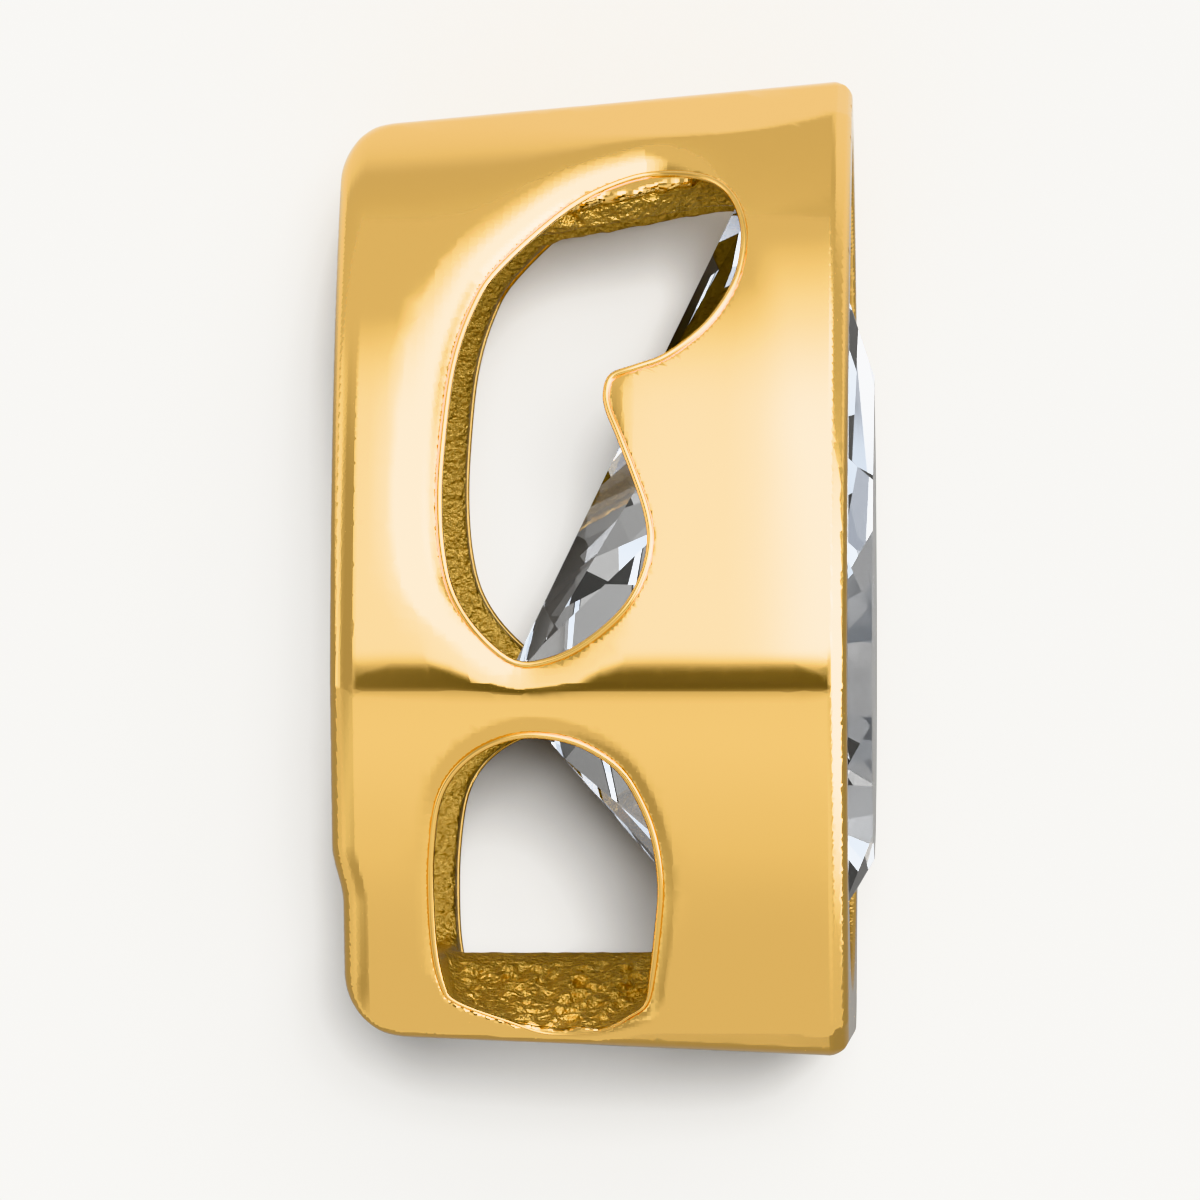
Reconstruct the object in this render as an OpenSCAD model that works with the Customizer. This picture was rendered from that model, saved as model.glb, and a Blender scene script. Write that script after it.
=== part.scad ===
// Slide pendant: a one-piece cast gold body around a pear-cut stone, lying on one side wall.
// Axes: +X is the pendant's front, +Y runs up the pendant, +Z is up from the surface it lies on.

/* [Stone] */
// Length of the pear-cut stone, from its tip to its round end
stone_length = 7; // [6.9:0.1:7.1]
// Width of the stone across its girdle
stone_width = 5; // [4.9:0.1:5.1]
// Height of the crown above the girdle
crown_height = 0.68; // [0.6:0.02:0.7]
// Width of the table, as a fraction of the stone's width
table_fraction = 0.54; // [0.5:0.01:0.56]
// Depth of the pavilion below the girdle
pavilion_depth = 2.18; // [2:0.02:2.2]
// Thickness of the girdle
girdle_thickness = 0.06; // [0.04:0.01:0.08]
// Clearance between the girdle and the body
stone_clearance = 0.03; // [0.02:0.01:0.04]

/* [Body] */
// Depth of the body, from its back rim to its front rim
body_depth = 3.98; // [3.9:0.02:4.1]
// Height of the front rim above the middle of the girdle
rim_above_girdle = 0.54; // [0.5:0.02:0.6]
// Metal left outside the widest part of the stone
bezel_wall = 0.4; // [0.38:0.01:0.45]
// Thickness of the side walls
side_wall = 0.5; // [0.46:0.01:0.52]
// Distance from the ridge line down to the flat bottom, at the front
bottom_drop = 2.87; // [2.83:0.01:2.9]
// Half width of the lower panels where they meet the bottom bevel
bottom_half_width = 2.08; // [2.02:0.01:2.12]
// Height of the top above the ridge line, at the front
top_height = 4.79; // [4.74:0.01:4.82]
// Thickness of the top wall
top_wall = 0.45; // [0.4:0.01:0.5]
// Height of the inner floor below the ridge line
floor_drop = 2.07; // [2.03:0.01:2.1]
// Half width of the hollow at the inner floor
floor_half_width = 1.75; // [1.72:0.01:1.78]

/* [Hidden] */

reach = 12;          // larger than any dimension of the pendant
gold = "#E0B05A";
clear_stone = "#D5DBE3";

// The stone's outline: a half circle below, and two shoulder arcs that meet at the tip.
end_radius = stone_width / 2;
tip_height = stone_length - end_radius;
shoulder_radius = (pow(end_radius, 2) + pow(tip_height, 2)) / stone_width;
shoulder_offset = shoulder_radius - end_radius;
tip_angle = atan(tip_height / shoulder_offset);

// Depths along X, with the origin midway between the back rim and the front rim.
front = body_depth / 2;
back = -body_depth / 2;
girdle = front - rim_above_girdle;
girdle_top = girdle + girdle_thickness / 2;
girdle_bottom = girdle - girdle_thickness / 2;
table = girdle_top + crown_height;
ledge_below_girdle = 0.25;            // the body's ledge, behind the stone's edge
lip_above_girdle = 0.2;               // underside of the lip over the crown
seat = girdle_bottom - ledge_below_girdle;
lip = girdle_top + lip_above_girdle;
lip_overlap = 0.12;                   // how far the lip reaches over the stone's edge
floor_relief = 0.93;                  // the inner floor is lower in front of this depth
relief_drop = 2.4;

panel_radius = shoulder_radius + bezel_wall;
panel_step = 2;                       // degrees between the flat strips of a round panel
ridge_half_width = end_radius + bezel_wall;

// It lies on the strip of the round panel that its weight is over, so its middle plane leans.
rest_strip = 4;                       // counted from the ridge, which is at the start of strip 0
rest_lean = panel_step * (rest_strip + 0.5);

// Slopes of the top and bottom, which close in a little toward the back.
top_slope = 0.096;
bottom_slope = 0.045;
bevel_front = [front - 0.25, 4.42, 0.80];   // two points on the crisp line under the top bevel
bevel_back = [back + 0.46, 3.97, 1.29];
bevel_top = [front, top_height, 0.30];      // where the bevel meets the top, at the front
bottom_bevel_drop = 2.61;
bottom_bevel_half_width = 1.78;
back_corner_top = 0.42;               // corner radii of the side view, at the back
back_corner_bottom = 0.5;
foot_step = 0.08;                     // the lower back edge sits this far forward
foot_step_drop = [1.2, 1.65];

// Rings of facets around the stone. The crown's main facets are cut up to the table, and the
// pavilion's down to the culet; the apexes of the other rings are fractions of theirs.
main_facets = 8;
half_facets = 16;
upper_half_apex = 1.184;
lower_half_apex = 1.018;
star_apex = 0.865;
star_reach = 1.153;                   // the star facets would meet the girdle outside the stone
culet_flat = 0.03;                    // height cut from the pavilion's point

// Slanted cuts that finish the two openings: height at the inner and outer edge of the wall.
upper_cut_inner = [0.80, 3.70];
upper_cut_outer = [1.26, 4.02];
lower_cut_inner = [0, -floor_drop];
lower_cut_outer = [2.0, -2.67];

// Openings in the side walls. Columns: depth X, height Y.
upper_opening = [
    [-0.56, 0.21], [-1.03, 0.71], [-1.15, 1.45], [-1.06, 2.49], [-0.72, 3.26],
    [-0.20, 3.73], [0.56, 4.00], [1.05, 3.84], [1.16, 3.39], [0.89, 2.82],
    [0.36, 2.49], [0.12, 2.31], [0.22, 1.96], [0.44, 1.37], [0.41, 0.86], [-0.02, 0.36]
];
lower_opening = [
    [-1.04, -2.38], [-1.20, -2.05], [-1.21, -1.25], [-1.04, -0.65], [-0.56, -0.37],
    [-0.04, -0.44], [0.40, -0.89], [0.54, -1.51], [0.47, -2.20], [0.29, -2.53],
    [-0.08, -2.66], [-0.60, -2.60]
];

// Points of an arc about centre, from one angle to another.
function arc(centre, radius, from, to, steps) = [
    for (i = [0:steps])
        let (a = from + (to - from) * i / steps)
        centre + radius * [cos(a), sin(a)]
];

// Points of a closed smooth curve through every point of a list.
function smooth_loop(points, steps) = let (n = len(points)) [
    for (i = [0:n - 1], j = [0:steps - 1])
        let (
            t = j / steps,
            p0 = points[(i + n - 1) % n], p1 = points[i],
            p2 = points[(i + 1) % n], p3 = points[(i + 2) % n]
        )
        0.5 * (2 * p1 + (p2 - p0) * t + (2 * p0 - 5 * p1 + 4 * p2 - p3) * t * t
            + (3 * p1 - p0 - 3 * p2 + p3) * t * t * t)
];

// Mirror a list of [half width, height] points that runs up one side into a closed outline.
function both_sides(side) = concat(
    side, [for (i = [len(side) - 1:-1:0]) if (side[i][0] > 0.001) [-side[i][0], side[i][1]]]
);

// Outline of the stone, grown outward by a distance.
function pear(grow) =
    let (
        radius = shoulder_radius + grow,
        tip = acos(shoulder_offset / radius)
    )
    both_sides(concat(
        [for (a = [-90:6:-6]) (end_radius + grow) * [cos(a), sin(a)]],
        arc([-shoulder_offset, 0], radius, 0, tip, 16)
    ));

// Distance from the stone's axis to its outline, in the direction a above the widest line.
function reach_of_pear(a) =
    let (up = sin(a), out = abs(cos(a)))
    up <= 0 ? end_radius
    : atan2(up, out) < tip_angle ? shoulder_radius - shoulder_offset * out
    : tip_height * up;

// One side of the body's outline, seen from the front, from the bottom up.
function body_side() =
    let (
        lower_lean = (ridge_half_width - bottom_half_width) / bottom_bevel_drop,
        tip = acos(shoulder_offset / panel_radius)
    )
    concat(
        [[ridge_half_width - lower_lean * reach / 3, -reach / 3]],
        [for (a = [0:panel_step:tip])
            [panel_radius * cos(a) - shoulder_offset, panel_radius * sin(a)]
        ],
        [[0, panel_radius * sin(tip)]]
    );

// One side of the hollow, seen from the front, from a floor up.
function hollow_side(floor_y) =
    let (
        radius = panel_radius - side_wall,
        widest = radius - shoulder_offset,
        tip = acos(shoulder_offset / radius)
    )
    concat(
        [[widest + (widest - floor_half_width) * floor_y / floor_drop, floor_y]],
        arc([-shoulder_offset, 0], radius, 0, tip, 12)
    );

// Extrude a [half width, height] outline along X.
module along_depth(from, to) {
    translate([from, 0, 0]) rotate([0, 90, 0]) linear_extrude(to - from) children();
}

// Turn [half width, height] points to the axes that along_depth extrudes.
module front_view(points) { polygon([for (p = points) [-p[0], p[1]]]); }

// Extrude a side view across the whole width.
module across() { translate([0, 0, -reach / 2]) linear_extrude(reach) children(); }

// A large block whose flat face passes through a point and whose body lies along a normal.
module beyond(point, normal) {
    translate(point)
        rotate([0, acos(normal[2] / norm(normal)), atan2(normal[1], normal[0])])
            translate([-reach, -reach, 0]) cube([2 * reach, 2 * reach, reach]);
}

// The same block on both sides of the middle plane.
module beyond_both(point, normal) {
    beyond(point, normal);
    mirror([0, 0, 1]) beyond(point, normal);
}

// Side view of the body: a little lower toward the back, with round corners there.
module side_view() {
    top_back = top_height - top_slope * body_depth;
    bottom_back = -bottom_drop + bottom_slope * body_depth;
    heel = back + foot_step;
    polygon(concat(
        [
            [front, -bottom_drop],
            [front, top_height]
        ],
        arc([back + back_corner_top, top_back - back_corner_top], back_corner_top, 84, 180, 8),
        [[back, -foot_step_drop[0]], [heel, -foot_step_drop[1]]],
        arc([heel + back_corner_bottom, bottom_back + back_corner_bottom],
            back_corner_bottom, 180, 267, 8)
    ));
}

// The space inside the side walls, behind the stone.
module hollow() {
    intersection() {
        union() {
            along_depth(back - 1, floor_relief) front_view(both_sides(hollow_side(-floor_drop)));
            along_depth(floor_relief - 0.01, seat + 0.01)
                front_view(both_sides(hollow_side(-relief_drop)));
        }
        across() polygon([
            [back - 1, -reach / 2],
            [back - 1, top_height - top_wall - top_slope * (body_depth + 1)],
            [front, top_height - top_wall],
            [front, -reach / 2]
        ]);
    }
}

// Groove around the girdle, and the hole in the lip in front of it.
module stone_seat() {
    along_depth(seat, lip) front_view(pear(stone_clearance));
    along_depth(lip - 0.01, front + 1) front_view(pear(-lip_overlap));
}

// An opening through both side walls, with slanted ends where it meets the wall.
module upper_cut() {
    rise = (upper_cut_outer[1] - upper_cut_inner[1]) / (upper_cut_outer[0] - upper_cut_inner[0]);
    far = [4, upper_cut_inner[1] + rise * (4 - upper_cut_inner[0])];
    intersection() {
        across() polygon(smooth_loop(upper_opening, 4));
        along_depth(back, front) front_view(both_sides([[0, -1], [4, -1], far, upper_cut_inner,
            [0, upper_cut_inner[1]]]));
    }
}
module lower_cut() {
    fall = (lower_cut_outer[1] - lower_cut_inner[1]) / lower_cut_outer[0];
    intersection() {
        across() polygon(smooth_loop(lower_opening, 4));
        along_depth(back, front) front_view(both_sides([lower_cut_inner,
            [4, lower_cut_inner[1] + 4 * fall], [4, 0], [0, 0]]));
    }
}

module slide_body() {
    bevel_normal = cross(bevel_back - bevel_front, bevel_top - bevel_front);
    color(gold) lie_down() difference() {
        intersection() {
            along_depth(back, front) front_view(both_sides(body_side()));
            across() side_view();
        }
        beyond_both(bevel_front, bevel_normal[1] > 0 ? bevel_normal : -bevel_normal);
        beyond_both([0, -bottom_bevel_drop, bottom_half_width],
            [0, bottom_bevel_half_width - bottom_half_width, bottom_drop - bottom_bevel_drop]);
        hollow();
        stone_seat();
        upper_cut();
        lower_cut();
    }
}

// Cut away everything outside a ring of facets. Each facet meets the girdle at a fraction of
// the outline's reach there, and would meet the stone's axis at an apex height.
module facets(level, apex, fraction, count, shift) {
    for (i = [0:count - 1]) {
        a = 360 * (i + shift) / count;
        r = fraction * reach_of_pear(a);
        beyond([level, r * sin(a), r * cos(a)],
            [r * sign(apex), abs(apex) * sin(a), abs(apex) * cos(a)]);
    }
}

module pear_stone() {
    crown_apex = crown_height / (1 - table_fraction);
    culet = girdle_bottom - pavilion_depth + culet_flat;
    // The cut stone is convex, so the hull keeps its shape and closes it as one faceted solid.
    color(clear_stone) lie_down() hull() difference() {
        along_depth(culet, table) front_view(pear(0));
        facets(girdle_top, crown_apex, 1, main_facets, 0);
        facets(girdle_top, crown_apex * upper_half_apex, 1, half_facets, 0.5);
        facets(girdle_top, crown_apex * star_apex, star_reach, main_facets, 0.5);
        facets(girdle_bottom, -pavilion_depth, 1, main_facets, 0);
        facets(girdle_bottom, -pavilion_depth * lower_half_apex, 1, half_facets, 0.5);
    }
}

// Lay the pendant on the round panel of its far side wall, over the origin.
module lie_down() {
    height = panel_radius * cos(panel_step / 2) - shoulder_offset * cos(rest_lean);
    top = [top_height, bevel_top[2]];
    foot = [-bottom_drop, -bottom_bevel_half_width];
    y_top = top[0] * cos(rest_lean) + top[1] * sin(rest_lean);
    y_foot = foot[0] * cos(rest_lean) + foot[1] * sin(rest_lean);
    translate([-(back + table) / 2, -(y_top + y_foot) / 2, height])
        rotate([-rest_lean, 0, 0]) children();
}

slide_body();
pear_stone();
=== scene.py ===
"""A slide pendant: one cast and polished gold body around a pear-cut clear stone, lying on one side.

Sizes are millimetres in the pendant's own axes: p toward its front, q up to the stone's tip and w
across it, with the middle plane at w = 0. Lie turns them into the frame's metres.
"""

import logging
import math
from dataclasses import dataclass, field
from enum import Enum

import bpy
import numpy as np
import openvdb
from mathutils import Matrix, Vector

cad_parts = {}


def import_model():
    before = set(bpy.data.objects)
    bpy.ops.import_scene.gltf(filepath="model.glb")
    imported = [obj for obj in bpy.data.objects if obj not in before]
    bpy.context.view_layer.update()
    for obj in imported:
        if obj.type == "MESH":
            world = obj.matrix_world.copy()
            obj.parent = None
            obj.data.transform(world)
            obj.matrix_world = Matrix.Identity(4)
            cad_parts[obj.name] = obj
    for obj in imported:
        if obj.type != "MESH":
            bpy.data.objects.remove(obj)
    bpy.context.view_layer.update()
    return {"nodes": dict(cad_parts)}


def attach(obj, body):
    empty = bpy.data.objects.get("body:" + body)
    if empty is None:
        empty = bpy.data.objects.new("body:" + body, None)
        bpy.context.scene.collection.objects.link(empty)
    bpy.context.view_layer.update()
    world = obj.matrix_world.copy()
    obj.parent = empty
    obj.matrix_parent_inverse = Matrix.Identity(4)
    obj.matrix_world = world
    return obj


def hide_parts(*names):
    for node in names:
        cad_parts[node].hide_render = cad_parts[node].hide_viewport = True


LOG = logging.getLogger("slide_pendant")
MM = 0.001


def linear(colour: str) -> tuple[float, float, float, float]:
    """Turn an sRGB hex colour into linear RGBA.

    Args:
        colour: Six hex digits after a hash sign.

    Returns:
        Linear red, green, blue and an alpha of 1.
    """
    levels = [int(colour[i : i + 2], 16) / 255 for i in (1, 3, 5)]
    red, green, blue = [c / 12.92 if c <= 0.04045 else ((c + 0.055) / 1.055) ** 2.4 for c in levels]
    return red, green, blue, 1.0


def add(tree: bpy.types.NodeTree, kind: str, links: dict | None = None, **settings) -> bpy.types.Node:
    """Add a node to a tree, with its settings, its input values and its links.

    Args:
        tree: Node tree that takes the node.
        kind: Blender's name for the node's type.
        links: Input name or number to a value, or to the output socket that feeds it.
        settings: Properties of the node, such as operation or data_type.

    Returns:
        The new node.
    """
    node = tree.nodes.new(kind)
    for name, value in settings.items():
        setattr(node, name, value)
    for key, value in (links or {}).items():
        if isinstance(value, bpy.types.NodeSocket):
            tree.links.new(value, node.inputs[key])
        else:
            node.inputs[key].default_value = value
    return node


def smoothstep(low: float, high: float, x: np.ndarray) -> np.ndarray:
    """Rise smoothly from 0 at low to 1 at high."""
    t = np.clip((x - low) / (high - low), 0.0, 1.0)
    return t * t * (3 - 2 * t)


def round_max(a: np.ndarray, b: np.ndarray, radius: float | np.ndarray) -> np.ndarray:
    """Intersect two distance fields and round the edge between them.

    Args:
        a: First field, negative inside.
        b: Second field, negative inside.
        radius: Radius of the rounded edge, one number or one for each point.

    Returns:
        The field of what lies inside both.
    """
    sharp = np.maximum(a, b)
    return np.minimum(sharp, -radius) + np.hypot(np.maximum(a + radius, 0), np.maximum(b + radius, 0))


def smooth_loop(points: tuple[tuple[float, float], ...], steps: int) -> np.ndarray:
    """Run a closed smooth curve through every point of a list.

    Args:
        points: Points that the curve passes through, in order.
        steps: Stretches between two of them.

    Returns:
        Points of the curve, one in a row.
    """
    knots = np.array(points)
    before, after, last = np.roll(knots, 1, 0), np.roll(knots, -1, 0), np.roll(knots, -2, 0)
    t = (np.arange(steps) / steps)[None, :, None]
    curve = 0.5 * (
        2 * knots[:, None]
        + (after - before)[:, None] * t
        + (2 * before - 5 * knots + 4 * after - last)[:, None] * t**2
        + (3 * knots - before - 3 * after + last)[:, None] * t**3
    )
    return curve.reshape(-1, 2)


def loop_distance(loop: np.ndarray, p: np.ndarray, q: np.ndarray) -> np.ndarray:
    """Measure the signed distance from points to a closed outline.

    Args:
        loop: Outline's points in order.
        p: First coordinates of the points.
        q: Second coordinates of the points.

    Returns:
        Distances, negative inside the outline.
    """
    best = np.full(p.shape, np.inf)
    inside = np.zeros(p.shape, bool)
    for (x0, y0), (x1, y1) in zip(loop, np.roll(loop, -1, 0)):
        dx, dy = x1 - x0, y1 - y0
        t = np.clip(((p - x0) * dx + (q - y0) * dy) / (dx * dx + dy * dy), 0, 1)
        best = np.minimum(best, (p - x0 - t * dx) ** 2 + (q - y0 - t * dy) ** 2)
        if dy != 0:
            inside ^= ((y0 > q) != (y1 > q)) & (p < (q - y0) * dx / dy + x0)
    return np.where(inside, -1.0, 1.0) * np.sqrt(best)


@dataclass(frozen=True)
class Pear:
    """Outline of the pear-cut stone: a half circle below and two shoulder arcs up to the tip."""

    length: float = 7.0
    width: float = 5.0

    @property
    def end_radius(self) -> float:
        """Radius of the round end."""
        return self.width / 2

    @property
    def tip(self) -> float:
        """Height of the tip above the middle of the round end."""
        return self.length - self.end_radius

    @property
    def shoulder_radius(self) -> float:
        """Radius of a shoulder arc."""
        return (self.end_radius**2 + self.tip**2) / self.width

    @property
    def shoulder_offset(self) -> float:
        """Distance from the middle plane to the centre of the far shoulder's arc."""
        return self.shoulder_radius - self.end_radius

    def distance(self, q: np.ndarray, w: np.ndarray) -> np.ndarray:
        """Measure the signed distance to the outline, negative inside."""
        round_end = np.hypot(w, q) - self.end_radius
        shoulder = np.hypot(np.abs(w) + self.shoulder_offset, q) - self.shoulder_radius
        return np.where(q < 0, round_end, shoulder)


@dataclass(frozen=True)
class Lie:
    """How the pendant lies: on the strip of its round side panel that its weight is over."""

    panel_radius: float = 5.7
    panel_offset: float = 2.8
    strip_degrees: float = 2.0
    lean_degrees: float = 9.0
    top_corner: tuple[float, float] = (4.79, 0.30)
    foot_corner: tuple[float, float] = (-2.87, -1.78)
    back: float = -1.99
    table: float = 2.16

    def matrix(self) -> Matrix:
        """Turn pendant millimetres into the frame's metres."""
        lean = math.radians(self.lean_degrees)
        c, s = math.cos(lean), math.sin(lean)
        reach = [q * c + w * s for q, w in (self.top_corner, self.foot_corner)]
        strip = self.panel_radius * math.cos(math.radians(self.strip_degrees / 2))
        shift = Matrix.Translation(
            (-(self.back + self.table) / 2, -sum(reach) / 2, strip - self.panel_offset * c)
        )
        return Matrix.Scale(MM, 4) @ shift @ Matrix.Rotation(-lean, 4, "X")

    def place(self, points: np.ndarray) -> np.ndarray:
        """Move rows of p, q, w in millimetres to the frame, in metres."""
        m = np.array(self.matrix())
        return points @ m[:3, :3].T + m[:3, 3]

    def turn(self, ways: np.ndarray) -> np.ndarray:
        """Turn rows of directions to the frame, at unit length."""
        turned = ways @ np.array(self.matrix())[:3, :3].T
        return turned / np.maximum(np.linalg.norm(turned, axis=1, keepdims=True), 1e-12)


@dataclass
class Opening:
    """A hole through both side walls, given by points on its edge at the outer surface."""

    edge: tuple[tuple[float, float], ...]
    edge_steps: int = 4
    step: float = 0.0125
    low: tuple[float, float] = (-2.3, -3.2)
    high: tuple[float, float] = (2.3, 5.0)

    def __post_init__(self) -> None:
        """Measure the distance to the edge on a fine grid, to read it from later."""
        axes = [np.arange(a, b, self.step) for a, b in zip(self.low, self.high)]
        p, q = np.meshgrid(*axes, indexing="ij")
        self.grid = loop_distance(smooth_loop(self.edge, self.edge_steps), p, q)

    def distance(self, p: np.ndarray, q: np.ndarray) -> np.ndarray:
        """Measure the signed distance to the edge, negative in the hole."""
        x = (p - self.low[0]) / self.step
        y = (q - self.low[1]) / self.step
        i = np.clip(x.astype(int), 0, self.grid.shape[0] - 2)
        j = np.clip(y.astype(int), 0, self.grid.shape[1] - 2)
        x, y, g = x - i, y - j, self.grid
        near = g[i, j] * (1 - y) + g[i, j + 1] * y
        far = g[i + 1, j] * (1 - y) + g[i + 1, j + 1] * y
        return near * (1 - x) + far * x


CHAIN_OPENING = Opening(
    edge=(
        (-0.56, 0.21), (-0.83, 0.42), (-1.03, 0.71), (-1.12, 1.04), (-1.15, 1.45), (-1.13, 1.90),
        (-1.06, 2.49), (-0.92, 2.94), (-0.72, 3.26), (-0.20, 3.73), (0.24, 3.95), (0.56, 4.00),
        (0.87, 3.96), (1.05, 3.84), (1.15, 3.63), (1.16, 3.39), (1.09, 3.12), (0.89, 2.82),
        (0.59, 2.58), (0.36, 2.49), (0.17, 2.42), (0.12, 2.29), (0.14, 2.15), (0.22, 1.96),
        (0.34, 1.66), (0.44, 1.37), (0.47, 1.13), (0.41, 0.86), (0.26, 0.60), (-0.02, 0.36),
        (-0.29, 0.23),
    )
)
LIGHT_OPENING = Opening(
    edge=(
        (-1.14, -2.29), (-1.20, -2.00), (-1.22, -1.60), (-1.21, -1.25), (-1.16, -0.89),
        (-1.04, -0.65), (-0.83, -0.47), (-0.56, -0.37), (-0.30, -0.37), (-0.04, -0.44),
        (0.23, -0.62), (0.40, -0.89), (0.50, -1.18), (0.54, -1.51), (0.52, -1.81), (0.47, -2.20),
        (0.42, -2.43), (0.29, -2.53), (0.13, -2.62), (-0.08, -2.66), (-0.36, -2.66),
        (-0.64, -2.57), (-1.04, -2.42),
    )
)


@dataclass(frozen=True)
class CastGrit:
    """Uneven skin of metal that stays as it came from the mould: waves laid over each other."""

    height: float = 0.012
    longest: float = 0.22
    shortest: float = 0.10
    waves: int = 30
    crest: float = 3.0
    seed: int = 7

    def heights(self, points: np.ndarray) -> np.ndarray:
        """Give the skin's height at rows of points."""
        rng = np.random.default_rng(self.seed)
        total = np.zeros(len(points))
        for _ in range(self.waves):
            way = rng.normal(size=3)
            length = rng.uniform(self.shortest, self.longest)
            way *= 2 * math.pi / (length * np.linalg.norm(way))
            total += np.sin(points @ way + rng.uniform(0, 2 * math.pi)) * length
        return total * self.height / (self.longest * math.sqrt(self.waves) / self.crest)


@dataclass(frozen=True)
class Edges:
    """Radii of the body's edges. A polished one is what polishing adds to it toward the back."""

    ridge: float = 0.015
    top_bevel: float = 0.008
    top_bevel_polished: float = 0.16
    bottom_bevel: float = 0.03
    bottom_bevel_polished: float = 0.2
    top: float = 0.05
    bottom: float = 0.08
    front_strip: float = 0.02
    back_strip: float = 0.05
    top_back: float = 0.42
    bottom_back: float = 0.5
    back_corners: float = 0.06
    front: float = 0.05
    hollow: float = 0.05
    hollow_ends: float = 0.15
    seat: float = 0.03
    roof: float = 0.05
    floor: float = 0.12
    opening: float = 0.05


@dataclass(frozen=True)
class Dish:
    """The soft dish around the upper opening. A pair says where a change starts and ends."""

    width: float = 0.65
    narrowing: float = 0.12
    depth: float = 0.165
    shallowing: float = 0.115
    downward: tuple[float, float] = (0.9, 0.3)
    backward: tuple[float, float] = (0.35, -0.45)
    top_share: float = 0.8
    upward: tuple[float, float] = (2.9, 3.7)
    from_front: tuple[float, float] = (1.25, 0.35)
    steepness: int = 4

    def sunk(self, p: np.ndarray, q: np.ndarray) -> np.ndarray:
        """Give the dish's depth, at the opening's back and over its top."""
        near = np.maximum(CHAIN_OPENING.distance(p, q), 0.0)
        low = smoothstep(*self.downward, q)
        width = self.width - self.narrowing * low
        depth = self.depth - self.shallowing * low
        side = smoothstep(*self.backward, p)
        over = self.top_share * smoothstep(*self.upward, q) * smoothstep(*self.from_front, p)
        return depth * (side + over - side * over) * np.maximum(1 - near / width, 0.0) ** self.steepness


@dataclass(frozen=True)
class OpeningRoof:
    """Roof of the upper opening, which slopes up to the front and rises outward from the hollow."""

    height: float = 3.63
    slope: float = 0.33
    height_at: float = 0.6
    reach: tuple[float, float] = (-1.1, 0.3)
    outward_rise: float = 0.86
    rise_from: float = 0.80
    unit: float = 0.76
    roughening: tuple[float, float] = (0.92, 1.2)

    def above(self, p: np.ndarray, q: np.ndarray, out: np.ndarray) -> np.ndarray:
        """Measure the distance above the roof."""
        inner = self.height + self.slope * np.clip(p - self.height_at, *self.reach)
        return (q - inner - self.outward_rise * np.maximum(out - self.rise_from, 0)) * self.unit


@dataclass(frozen=True)
class OpeningFloor:
    """Floor of the lower opening, which falls outward from the hollow's floor."""

    drop: float = 2.07
    outward_fall: float = 0.30
    unit: float = 0.96
    roughening: tuple[float, float] = (0.15, 0.5)

    def below(self, q: np.ndarray, out: np.ndarray) -> np.ndarray:
        """Measure the distance below the floor."""
        return -(q + self.drop + self.outward_fall * out) * self.unit


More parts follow.
